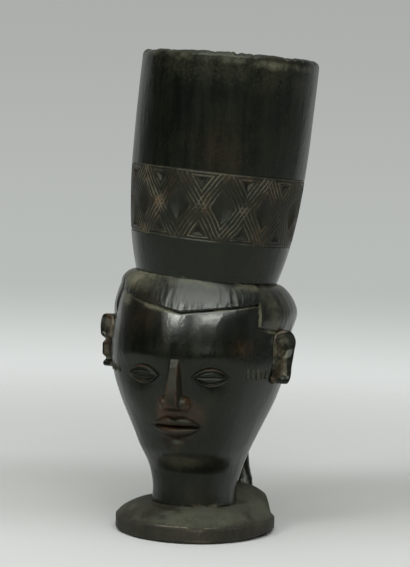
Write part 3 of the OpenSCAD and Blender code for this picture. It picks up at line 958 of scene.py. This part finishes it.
def make_foot():
    profile = foot_profile()
    r, z = profile[:, :1], profile[:, 1:]
    turn = np.linspace(0, 360, FOOT_COLUMNS, endpoint=False)[None, :]
    angle = np.radians(turn)
    outer = smooth(NECK_R, FOOT_R, r)
    inwards = share(FOOT_R - FOOT_BEVEL, NECK_R, r)
    uneven = angle + 0.10 * np.sin(3 * angle + 1) + 0.05 * np.sin(5 * angle)
    side = np.radians(360 / FOOT_SIDES)
    flat = math.cos(side / 2) / np.cos(np.mod(uneven, side) - side / 2)
    spread = lobe(turn, *FOOT_FORWARD) + lobe(turn, *FOOT_BACK)
    reach = r * mix(1, flat, FOOT_SIDE_CUT * outer) + spread * share(0, FOOT_R, r)
    crown = FOOT_CROWN * np.sin(np.pi * inwards ** 0.7) - FOOT_DIP * smooth(0.55, 1, inwards)
    from_back = wrapped(turn - 180)
    at_back = np.where(from_back < 0, smooth(*MOUND_LEFT_A, -from_back), smooth(*MOUND_RIGHT_A, from_back))
    by_handle = smooth(*MOUND_GAP_X, np.abs(r * np.sin(angle)))
    mound = MOUND_H * at_back * smooth(0, 0.06, inwards) * np.maximum(by_handle, smooth(0.6, 0.25, inwards))
    around = FOOT_WAVE_R * np.stack([np.sin(angle), -np.cos(angle), 0 * angle], axis=-1)
    rough = smooth(0, FOOT_EDGE_H, z) * outer
    undercut = lobe(turn, *FOOT_UNDERCUT) * smooth(FOOT_R - 5, FOOT_R, r) * (z < 2)
    lift = FOOT_EDGE_WAVE * waver(around, FOOT_WAVE_L, 2) * rough + undercut
    height = z + lift + (z > FOOT_EDGE_H - 0.01) * (crown + mound)
    rows = np.stack([reach * np.sin(angle), -reach * np.cos(angle), height], axis=-1)
    rows = rows + (FOOT_ROUGH * waver(rows, 5, 4) * rough)[..., None]
    on_top = smooth(FOOT_EDGE_H - 1, FOOT_EDGE_H + 0.5, z)
    # A patch by the neck's front left with the dust left off, so the top is darker there
    dust_gap = lobe(turn, *FOOT_DUST_GAP) * smooth(0.35, 0.8, inwards + 0.2 * waver(rows, 5, 67))
    mottled = 0.15 + 0.35 * patches(rows, 13, 61) + 0.4 * patches(rows, 4, 69)
    thicker = 0.15 * swell(wrapped(turn) - 30, 35) + 0.35 * swell(wrapped(turn) - 120, 45)
    chips = swell(z - FOOT_EDGE_H + 0.35, 0.22) * (r > FOOT_R - 2) * smooth(0.45, 0.8, patches(rows, 6, 63))
    chips = chips * lobe(turn, *FOOT_CHIPS)
    dust = on_top * (mottled + thicker) * (1 - dust_gap) * (1 - chips)
    wear = np.maximum(0.3 * patches(rows, 12, 65) * (1 - on_top), 1.2 * chips)
    add_piece("foot_block", lofted(rows), "dusty_wood", ["foot"], dust, wear,
              rounds=8, hollow_dust=0.2, edge_wear=0.25)


# Handle: a strap that bows back from a spread root on the foot to the nape

HANDLE_COLUMNS = 96
HANDLE_RINGS = 120
HANDLE_CUTS = (8, 12, 0.3, 0.5, 6)
HANDLE_CUT_RUN = 60


def squared(wave):
    """A sine or cosine pressed outwards, so that a round becomes a rounded square."""
    return np.sign(wave) * np.abs(wave) ** HANDLE_SQUARE


def make_handle():
    t = steps(HANDLE_RINGS)
    top_z = NAPE_HAIR_Z - HANDLE_DROP
    root = np.array([FOOT_R - HANDLE_INSET, FOOT_EDGE_H])
    peak = np.array([root[0] + HANDLE_BOW, (root[1] + top_z) / 2])
    end = np.array([back_at(np.array(float(top_z))) - ROOT_DEPTH / 2, top_z])
    at = mix(mix(root, peak, t), mix(peak, end, t), t)
    way = mix(peak - root, end - peak, t)
    out = np.stack([way[:, 1], -way[:, 0]], axis=-1) / np.linalg.norm(way, axis=-1, keepdims=True)
    half = mix(HANDLE_W, HANDLE_ROOT_W, (1 - share(0, HANDLE_SPREAD, t)) ** 2) / 2
    angle = np.linspace(0, 2 * np.pi, HANDLE_COLUMNS, endpoint=False)[None, :]
    cuts = 1 + tool_cuts(np.degrees(angle), t * HANDLE_CUT_RUN, *HANDLE_CUTS) / (HANDLE_T / 2)
    x = half * squared(np.cos(angle)) * cuts
    deep = HANDLE_T / 2 * squared(np.sin(angle)) * cuts
    rows = np.stack([x, at[:, :1] + out[:, :1] * deep, at[:, 1:] + out[:, 1:] * deep], axis=-1)
    dust = 0.7 * smooth(FOOT_EDGE_H + 13, FOOT_EDGE_H + 3, rows[..., 2])
    add_piece("handle_strap", lofted(rows), "black_wood", ["handle"], dust, hollow_dust=0.2, edge_wear=0.4)


# Forms that follow a rule, grown by Geometry Nodes

SEAM = 0.001 * MM


def growth(name, sizes):
    """A tree of Geometry Nodes with a named input for each size, and the sockets by which they come in."""
    tree = bpy.data.node_groups.new(name, "GeometryNodeTree")
    tree.interface.new_socket("Geometry", in_out="INPUT", socket_type="NodeSocketGeometry")
    for label, size in sizes.items():
        kind = "NodeSocketInt" if isinstance(size, int) else "NodeSocketFloat"
        tree.interface.new_socket(label, in_out="INPUT", socket_type=kind)
    tree.interface.new_socket("Geometry", in_out="OUTPUT", socket_type="NodeSocketGeometry")
    graph = Graph(tree)
    entry = graph.add("NodeGroupInput").link.node
    return graph, {label: Socket(graph, entry.outputs[label]) for label in ["Geometry", *sizes]}


def end_growth(graph, geometry, slot):
    whole = graph.add("GeometryNodeRealizeInstances", {}, {"Geometry": geometry})
    dressed = graph.add("GeometryNodeSetMaterial", {}, {"Geometry": whole, "Material": FINISHES[slot]})
    graph.add("NodeGroupOutput", {}, {"Geometry": dressed})
    return graph.tree


def grown(points, tree, sizes, outward=None):
    """The plain mesh that a tree grows from points in millimetres."""
    seeds = bpy.data.meshes.new("seeds")
    seeds.from_pydata((points * MM).tolist(), [], [])
    if outward is not None:
        layer = seeds.attributes.new("outward", "FLOAT_VECTOR", "POINT")
        layer.data.foreach_set("vector", outward.astype(np.float32).ravel())
    holder = put("seeds", seeds)
    modifier = holder.modifiers.new("Growth", "NODES")
    modifier.node_group = tree
    for item in tree.interface.items_tree:
        if item.in_out == "INPUT" and item.name in sizes:
            modifier[item.identifier] = sizes[item.name]
    bpy.context.view_layer.update()
    mesh = bpy.data.meshes.new_from_object(holder.evaluated_get(bpy.context.evaluated_depsgraph_get()))
    bpy.data.objects.remove(holder)
    return mesh


def turned_grid(graph, profile, segments):
    """A grid with a row for each point of a profile: its turn, sine and cosine, and the profile's numbers."""
    rows = graph.add("GeometryNodeAttributeDomainSize", {"component": "MESH"}, {"Geometry": profile},
                     "Point Count")
    grid = graph.add("GeometryNodeMeshGrid", {}, {"Size X": 1.0, "Size Y": 1.0,
                                                  "Vertices X": segments + 1, "Vertices Y": rows})
    position = graph.add("GeometryNodeInputPosition")
    x, y, _ = graph.parts(position)
    row = graph.math("ROUND", (y + 0.5) * (rows - 1))
    sample = graph.add("GeometryNodeSampleIndex", {"data_type": "FLOAT_VECTOR", "domain": "POINT"},
                       {"Geometry": profile, "Value": position, "Index": row})
    radius, carved, height = graph.parts(sample)
    turn = x * (2 * math.pi)
    return grid, turn, graph.math("SINE", turn), graph.math("COSINE", turn), radius, carved / MM, height


def swept(graph, grid, side, front, radius, height):
    """The grid carried to its places round the upright axis, with its seam and its poles closed."""
    place = graph.vector(radius * side, radius * front * -1, height)
    moved = graph.add("GeometryNodeSetPosition", {}, {"Geometry": grid, "Position": place})
    return graph.add("GeometryNodeMergeByDistance", {}, {"Geometry": moved, "Distance": SEAM})


def set_on_seat(mesh):
    """Carries a mesh from the upright axis to the leaning cup's place on the head."""
    seat = Vector((SEAT_SIDE, SEAT_BACK, SEAT_Z)) * MM
    sideways = Matrix.Rotation(math.radians(LEAN_SIDE), 4, "Y")
    backwards = Matrix.Rotation(math.radians(-LEAN_BACK), 4, "X")
    mesh.transform(Matrix.Translation(seat) @ sideways @ backwards)


# Cup: a hollow wall with upright tool marks and a worn, uneven rim

RIM_SHOULDER = 2.2
CUP_SIZES = {
    "Segments": 360,
    "Height": CUP_H * MM,
    "Cut depth": 0.07 * MM,
    "Rim wear": 1.0 * MM,
    "Rim chip": 1.1 * MM,
    "Rim rise": 1.4 * MM,
}


def wall_at(h):
    return CUP_RIM_R - (CUP_RIM_R - CUP_FOOT_R) * (1 - h / CUP_H) ** WALL_POWER


def hollow_at(h):
    rim = CUP_RIM_R - CUP_WALL
    return rim - (rim - HOLLOW_R) * (1 - (h - CUP_FLOOR) / (CUP_H - CUP_FLOOR)) ** WALL_POWER


def arc(centre, r, start, end, count):
    angle = np.radians(np.linspace(start, end, count))
    return np.stack([centre[0] + r * np.cos(angle), centre[1] + r * np.sin(angle)], axis=-1)


def wall_run(low, high, count, inset=0.0):
    h = np.linspace(low, high, count)
    return np.stack([wall_at(h) - inset, h], axis=-1)


def profile_points(outline, carved=0.0):
    """An outline of radii and heights as points that a turned grid can read."""
    return np.stack([outline[:, 0], np.broadcast_to(carved, len(outline)), outline[:, 1]], axis=-1)


def cup_profile():
    top = CUP_H - RIM_ROUND
    shoulder = CUP_H - RIM_SHOULDER
    floor_top = CUP_FLOOR + FLOOR_ROUND
    inside_h = np.linspace(top, floor_top, 70)
    return np.concatenate([
        [[0, 0], [CUP_FOOT_R / 2, 0]],
        wall_run(0, BAND_FROM, 24),
        wall_run(BAND_FROM, BAND_TO, 6, BAND_T),
        wall_run(BAND_TO, shoulder, 70),
        arc((wall_at(shoulder) - RIM_SHOULDER, shoulder), RIM_SHOULDER, 10, 90, 9),
        arc((hollow_at(top) + RIM_ROUND, top), RIM_ROUND, 90, 170, 7),
        np.stack([hollow_at(inside_h), inside_h], axis=-1),
        arc((hollow_at(floor_top) - FLOOR_ROUND, floor_top), FLOOR_ROUND, -10, -90, 12),
        [[HOLLOW_R * inwards, CUP_FLOOR] for inwards in (0.6, 0.4, 0.2, 0)],
    ])


def cup_tree():
    graph, given = growth("Turned cup", CUP_SIZES)
    grid, _, side, front, radius, _, height = turned_grid(graph, given["Geometry"], given["Segments"])
    around = graph.vector(radius * side, radius * front, height * 0.35)
    cut = graph.add("ShaderNodeTexVoronoi", {}, {"Vector": around, "Scale": 135}, "Distance")
    above_seat = graph.step(height, 1 * MM, 4 * MM)
    worked = radius + given["Cut depth"] * (cut * cut * 2 - 0.8) * above_seat
    level = height / given["Height"]
    waves = graph.noise(graph.vector(side, front, 0.0), 2.6, 3) * 2 - 1
    chips = graph.step(graph.noise(graph.vector(side, front, 3.0), 9, 4), 0.50, 0.70)
    worn = graph.step(level, 0.86, 1.0) * (given["Rim wear"] * waves)
    chipped = graph.step(level, 0.965, 1.0) * (given["Rim chip"] * chips)
    rise = given["Rim rise"] * side * graph.step(level, 0.3, 1.0)
    height = height + rise - worn - chipped
    return end_growth(graph, swept(graph, grid, side, front, worked, height), "black_wood")


def make_cup():
    mesh = grown(profile_points(cup_profile()), cup_tree(), CUP_SIZES)
    points = places(mesh)
    height = points[:, 2]
    radius = np.hypot(points[:, 0], points[:, 1])
    within = radius < (wall_at(height) + hollow_at(np.maximum(height, CUP_FLOOR))) / 2
    seat_dust = 0.7 * swell(height, 1.2) * ~within * patches(points, 6, 71)
    floor_dust = 0.5 * smooth(CUP_FLOOR + 25, CUP_FLOOR, height) * within
    rim = smooth(CUP_H - 8, CUP_H - 2.5, height + 1.2 * waver(points, 5, 73))
    rim_dust = rim * (0.50 + 0.16 * waver(points, 2.5, 75)) * mix(1, 0.6, smooth(CUP_H - 3, CUP_H, height))
    film = 0.33 * smooth(CUP_H - 30, CUP_H - 8, height) * ~within
    set_on_seat(mesh)
    add_piece("cup_wall", mesh, "black_wood", ["cup"], seat_dust + floor_dust + np.maximum(rim_dust, film),
              0.3 * rim, rounds=3, hollow_dust=0.1, edge_wear=0.3)


# Carved band: crossing strands of incised lines round sunk lozenges and triangles

BAND_ROWS = 110
BAND_SIZES = {
    "Segments": 840,
    "Repeats": LOZENGES,
    "First turn": math.radians(BAND_TURN),
    "Middle": BAND_MID * MM,
    "Half height": BAND_H / 2 * MM,
    "Line depth": 0.45 * MM,
    "Sunk depth": 1.3 * MM,
}
CHIP_ROUND = 1.35
# Places across a cell, where 0 is a lozenge's middle and 1 the middle of a strand, and widths of cuts there
STRAND_LINES = (0.80, 1.0)
LINE_HALF = 0.068
LOZENGE_LINE = 0.60
LOZENGE_SINK = 0.46
TRIANGLE_LINE = 1.40
TRIANGLE_SINK = 1.54
TRIANGLE_BASE = 0.87
TRIANGLE_FALL = 3.0
BORDER_LINE = 0.965
BORDER_HALF = 0.03


def with_mark(graph, geometry, name, amount):
    return graph.add("GeometryNodeStoreNamedAttribute", {"data_type": "FLOAT", "domain": "POINT"},
                     {"Geometry": geometry, "Name": name, "Value": amount})


def band_tree():
    graph, given = growth("Carved band", BAND_SIZES)

    def line(value, at, half):
        return graph.math("MAXIMUM", 1 - abs(value - at) / half, 0)

    grid, turn, side, front, radius, carved, height = turned_grid(graph, given["Geometry"], given["Segments"])
    around = graph.vector(radius * side, radius * front, height)
    sway = graph.noise(around, 110, 2) - 0.5
    slip = graph.noise(graph.stretched(around, (-1, 1, -1)), 110, 2) - 0.5
    cell = (turn - given["First turn"]) * given["Repeats"] / (2 * math.pi) + 0.5
    across_cell = graph.math("FRACT", cell) - 0.5 + sway * 0.09
    level = (height - given["Middle"]) / given["Half height"]
    up = level + slip * 0.06
    ways = [graph.math("PINGPONG", way, 1.0) for way in (across_cell * 2 + up, across_cell * 2 - up)]
    u = abs(across_cell) * 2
    v = abs(up)
    edge = abs(level)
    from_middle = u + v
    strands = graph.highest(*(line(way, at, LINE_HALF) for way in ways for at in STRAND_LINES))
    strands = strands * (1 - graph.step(edge, 0.93, BORDER_LINE + 0.005))
    outline = line(from_middle, LOZENGE_LINE, LINE_HALF)
    off_base = 1 - graph.step(v, TRIANGLE_BASE, TRIANGLE_BASE + 0.03)
    sides = line(from_middle, TRIANGLE_LINE, LINE_HALF) * off_base
    base = line(v, TRIANGLE_BASE, BORDER_HALF) * graph.step(from_middle, TRIANGLE_LINE - 0.03, TRIANGLE_LINE)
    border = line(edge, BORDER_LINE, BORDER_HALF)
    lines = graph.highest(strands, outline, sides, base, border) * carved
    rounded = graph.math("POWER", u, CHIP_ROUND) + graph.math("POWER", v, CHIP_ROUND)
    lozenge = 1 - graph.math("MINIMUM", graph.math("POWER", rounded, 1 / CHIP_ROUND) / LOZENGE_SINK, 1)
    triangle = graph.math("MINIMUM", from_middle - TRIANGLE_SINK, (TRIANGLE_BASE - 0.05 - v) * 2)
    cut = graph.highest(lozenge, triangle * TRIANGLE_FALL, 0.0)
    sunk = cut * (2 - cut) * carved
    faded = 0.35 + graph.step(graph.noise(graph.stretched(around, (1, -1, 1)), 80, 3), 0.36, 0.64) * 0.7
    depth = graph.highest(lines * faded * given["Line depth"], sunk * given["Sunk depth"])
    grid = with_mark(graph, grid, "dust", lines * (1 - sunk) * faded)
    grid = with_mark(graph, grid, "dull", sunk)
    return end_growth(graph, swept(graph, grid, side, front, radius - depth, height), "worn_wood")


def make_band():
    face = wall_run(BAND_FROM, BAND_TO, BAND_ROWS)
    back = wall_run(BAND_TO, BAND_FROM, 3, BAND_T)
    outline = np.concatenate([face, back, face[:1]])
    carved = np.concatenate([np.ones(BAND_ROWS), np.zeros(len(back)), [1]])
    mesh = grown(profile_points(outline, carved), band_tree(), BAND_SIZES)
    dust, sunk = (numbers(mesh.attributes[name].data, "value", 1, np.float32)[:, 0]
                  for name in ("dust", "dull"))
    points = places(mesh)
    from_middle = np.abs(points[:, 2] - BAND_MID)
    turn = np.degrees(np.arctan2(points[:, 0], -points[:, 1])) - BAND_TURN
    from_crossing = np.abs((turn * LOZENGES / 360) % 1 - 0.5)
    crossing = spot(from_crossing, from_middle, 0.25, 0, 0.25, 0, 5) * patches(points, 9, 81)
    wear = crossing + 0.54 * patches(points, 7, 83) * (0.7 + 0.3 * dust) * (1 - sunk)
    edge_wear = 0.4 * smooth(0.5, 1.5, BAND_H / 2 - from_middle) * (1 - sunk)
    set_on_seat(mesh)
    add_piece("lozenge_band", mesh, "worn_wood", ["pattern_band"], 0.85 * dust, wear, dull=sunk,
              rounds=2, hollow_dust=0.1, edge_wear=edge_wear)


# Temple marks: a short row of raised bars between the eye and the ear

MARK_SIZES = {"Width": MARK_W * MM, "Length": MARK_L * MM, "Height": MARK_OUT * MM, "Seed": 4}


def marks_tree():
    graph, given = growth("Row of marks", MARK_SIZES)
    ball = graph.add("GeometryNodeMeshUVSphere", {}, {"Segments": 14, "Rings": 10, "Radius": 0.5})
    scale = graph.vector(given["Width"], given["Length"], given["Height"] * 2)
    bar = graph.add("GeometryNodeTransform", {}, {"Geometry": ball, "Scale": scale})
    outward = graph.add("GeometryNodeInputNamedAttribute", {"data_type": "FLOAT_VECTOR"}, {"Name": "outward"})
    upright = graph.add("FunctionNodeAxesToRotation", {"primary_axis": "Z", "secondary_axis": "Y"},
                        {"Primary Axis": outward, "Secondary Axis": (0, 0, 1)})
    size = graph.add("FunctionNodeRandomValue", {"data_type": "FLOAT"},
                     {2: 0.8, 3: 1.1, "Seed": given["Seed"]}, 1)
    row = graph.add("GeometryNodeInstanceOnPoints", {},
                    {"Points": given["Geometry"], "Instance": bar, "Rotation": upright, "Scale": size})
    return end_growth(graph, row, "worn_wood")


def make_marks(name, side, height, tree):
    turn = side * (MARK_FIRST_A + MARK_STEP_A * np.arange(MARK_COUNT))
    z = np.full(MARK_COUNT, float(MARK_Z))
    outward = face_point(turn, z, 1.0) - face_point(turn, z)
    mesh = grown(head_skin(turn, z), tree, {**MARK_SIZES, "Height": height * MM}, outward)
    add_piece(name, mesh, "worn_wood", [name.replace("scars", "marks")], dust=0.5, edge_wear=0)


# Camera: the photograph's place, in metres, with its slight roll
CAMERA_TURN = 16
CAMERA_AWAY = 0.8443
CAMERA_Z = 0.1605
CAMERA_AIM_Z = 0.104
CAMERA_AIM_SIDE = 0.0013
CAMERA_ROLL = 1.97
CAMERA_LENS = 127.9
CAMERA_CLIP = 0.05


# Stage: a pale floor with a band of painted shade, that fades into a pale backdrop, a dimmer room before the
# object, and soft lamps

FLOOR_HALF = 1.2
FLOOR_FADE = (0.15, 0.7)
FLOOR_TONE = srgb(208, 208, 208)
# A soft band of painted shade across the paper, darker than the floor, square to the camera's line
PAINTED_SHADE_TONE = srgb(190, 191, 189)
PAINTED_SHADE_AWAY = 0.08
PAINTED_SHADE_HALF = (0.03, 0.13)
# Tones of the backdrop at heights of the line of sight, from 0 at BACKDROP_LOW to 1 at BACKDROP_HIGH
BACKDROP_LOW = -0.16
BACKDROP_HIGH = 0.08
BACKDROP_TONES = [
    (0.0, srgb(218, 222, 219)),
    (0.18, srgb(220, 224, 222)),
    (0.4, srgb(184, 188, 185)),
    (1.0, srgb(172, 174, 171)),
]
# The dim room before the object, between a pale floor and a pale ceiling
ROOM_TONE = srgb(50, 51, 49)
ROOM_EDGE = (0.3, 1.0)
ROOM_LOW = (-0.25, -0.05)
ROOM_HIGH = (0.4, 0.8)
# Lamps: turn and height of their direction in degrees, distance, width and height in metres, power in watts
LAMPS = {
    "Softbox": (12, 50, 1.6, 2.0, 0.6, 15),
    "Left window": (-22, 29, 1.6, 0.34, 0.26, 5.6),
    "Right window": (22, 30, 1.6, 0.8, 0.24, 6.6),
    "Ceiling": (10, 85, 1.5, 1.2, 1.2, 6),
    "Left wall": (-122, 8, 1.8, 0.9, 1.0, 0.55),
    "Right wall": (150, 8, 1.8, 0.9, 1.0, 0.55),
    "Right fill": (100, 10, 1.7, 2.0, 1.0, 0.8),
}
LAMP_AIM = Vector((0, 0, 0.1))
LAMP_TONE = (0.98, 1.0, 0.965)


def direction(turn, height=0.0):
    """A line from the middle outwards, at a turn and a height in degrees."""
    turn, height = math.radians(turn), math.radians(height)
    return Vector((math.sin(turn) * math.cos(height), -math.cos(turn) * math.cos(height), math.sin(height)))


def along_sight(x, y):
    """How far a place lies along the camera's level line, away from the camera."""
    line = math.radians(CAMERA_TURN)
    return y * math.cos(line) - x * math.sin(line)


def paper():
    material = bpy.data.materials.new("Pale paper")
    graph = emptied_tree(material)
    place = graph.add("ShaderNodeTexCoord", output="Object")
    away = graph.add("ShaderNodeVectorMath", {"operation": "LENGTH"}, {0: place}, "Value")
    x, y, _ = graph.parts(place)
    # The floor's tone darkens in a band behind the object: painted shade
    from_painted_shade = abs(along_sight(x, y) - PAINTED_SHADE_AWAY)
    tone = graph.blend(graph.step(from_painted_shade, *PAINTED_SHADE_HALF), PAINTED_SHADE_TONE, FLOOR_TONE)
    sheet = graph.add("ShaderNodeBsdfPrincipled", {},
                      {"Base Color": tone, "Roughness": 0.9, "Specular IOR Level": 0.1})
    nothing = graph.add("ShaderNodeBsdfTransparent")
    faded = graph.add("ShaderNodeMixShader", {}, {0: graph.step(away, *FLOOR_FADE), 1: sheet, 2: nothing})
    graph.add("ShaderNodeOutputMaterial", {}, {"Surface": faded})
    return material


def make_floor():
    mesh = bpy.data.meshes.new("paper_sheet")
    corners = [(-1, -1), (1, -1), (1, 1), (-1, 1)]
    mesh.from_pydata([(x * FLOOR_HALF, y * FLOOR_HALF, 0) for x, y in corners], [], [(0, 1, 2, 3)])
    mesh.materials.append(paper())
    sheet = put("paper_sheet", mesh)


def make_room():
    """The backdrop behind the object, which turns into the dimmer room before it."""
    world = bpy.data.worlds.new("Room")
    graph = emptied_tree(world)
    x, y, up = graph.parts(graph.add("ShaderNodeTexCoord", output="Generated"))
    level = (up - BACKDROP_LOW) / (BACKDROP_HIGH - BACKDROP_LOW)
    backdrop = graph.add("ShaderNodeValToRGB", {"stops": BACKDROP_TONES}, {"Fac": level})
    before = 1 - graph.step(along_sight(x, y), *ROOM_EDGE)
    level_with_eye = graph.step(up, *ROOM_LOW) * (1 - graph.step(up, *ROOM_HIGH))
    tone = graph.blend(before * level_with_eye, backdrop, ROOM_TONE)
    shine = graph.add("ShaderNodeBackground", {}, {"Color": tone})
    graph.add("ShaderNodeOutputWorld", {}, {"Surface": shine})
    bpy.context.scene.world = world


def make_lamps():
    for name, (turn, height, distance, width, tall, power) in LAMPS.items():
        lamp = bpy.data.lights.new(name, "AREA")
        lamp.shape = "RECTANGLE"
        lamp.size = width
        lamp.size_y = tall
        lamp.energy = power
        lamp.color = LAMP_TONE
        way = direction(turn, height)
        holder = put(name, lamp)
        holder.location = LAMP_AIM + way * distance
        holder.rotation_euler = (-way).to_track_quat("-Z", "Y").to_euler()
        holder.visible_camera = False


def make_camera():
    place = direction(CAMERA_TURN) * CAMERA_AWAY + Vector((0, 0, CAMERA_Z))
    aim = direction(CAMERA_TURN + 90) * CAMERA_AIM_SIDE + Vector((0, 0, CAMERA_AIM_Z))
    level = (aim - place).to_track_quat("-Z", "Y").to_matrix()
    rolled = level @ Matrix.Rotation(math.radians(CAMERA_ROLL), 3, "Z")
    camera = bpy.data.cameras.new("Camera")
    camera.lens = CAMERA_LENS
    camera.clip_start = CAMERA_CLIP
    holder = put("Camera", camera)
    holder.matrix_world = Matrix.Translation(place) @ rolled.to_4x4()
    bpy.context.scene.camera = holder


make_foot()
make_neck()
make_head()
make_nose()
make_lip("upper", 1)
make_lip("lower", -1)
make_eye("left_eye_relief", 1)
make_eye("right_eye_relief", -1)
row_of_marks = marks_tree()
make_marks("left_temple_scars", 1, MARK_OUT, row_of_marks)
make_marks("right_temple_scars", -1, MARK_OUT / 2, row_of_marks)
make_ear("left_ear_plate", 1, 0, False)
make_ear("right_ear_plate", -1, RIGHT_EAR_LIFT, True)
make_hair()
make_cup()
make_band()
make_handle()
make_floor()
make_room()
make_lamps()
make_camera()
bpy.context.scene.view_settings.view_transform = "Standard"
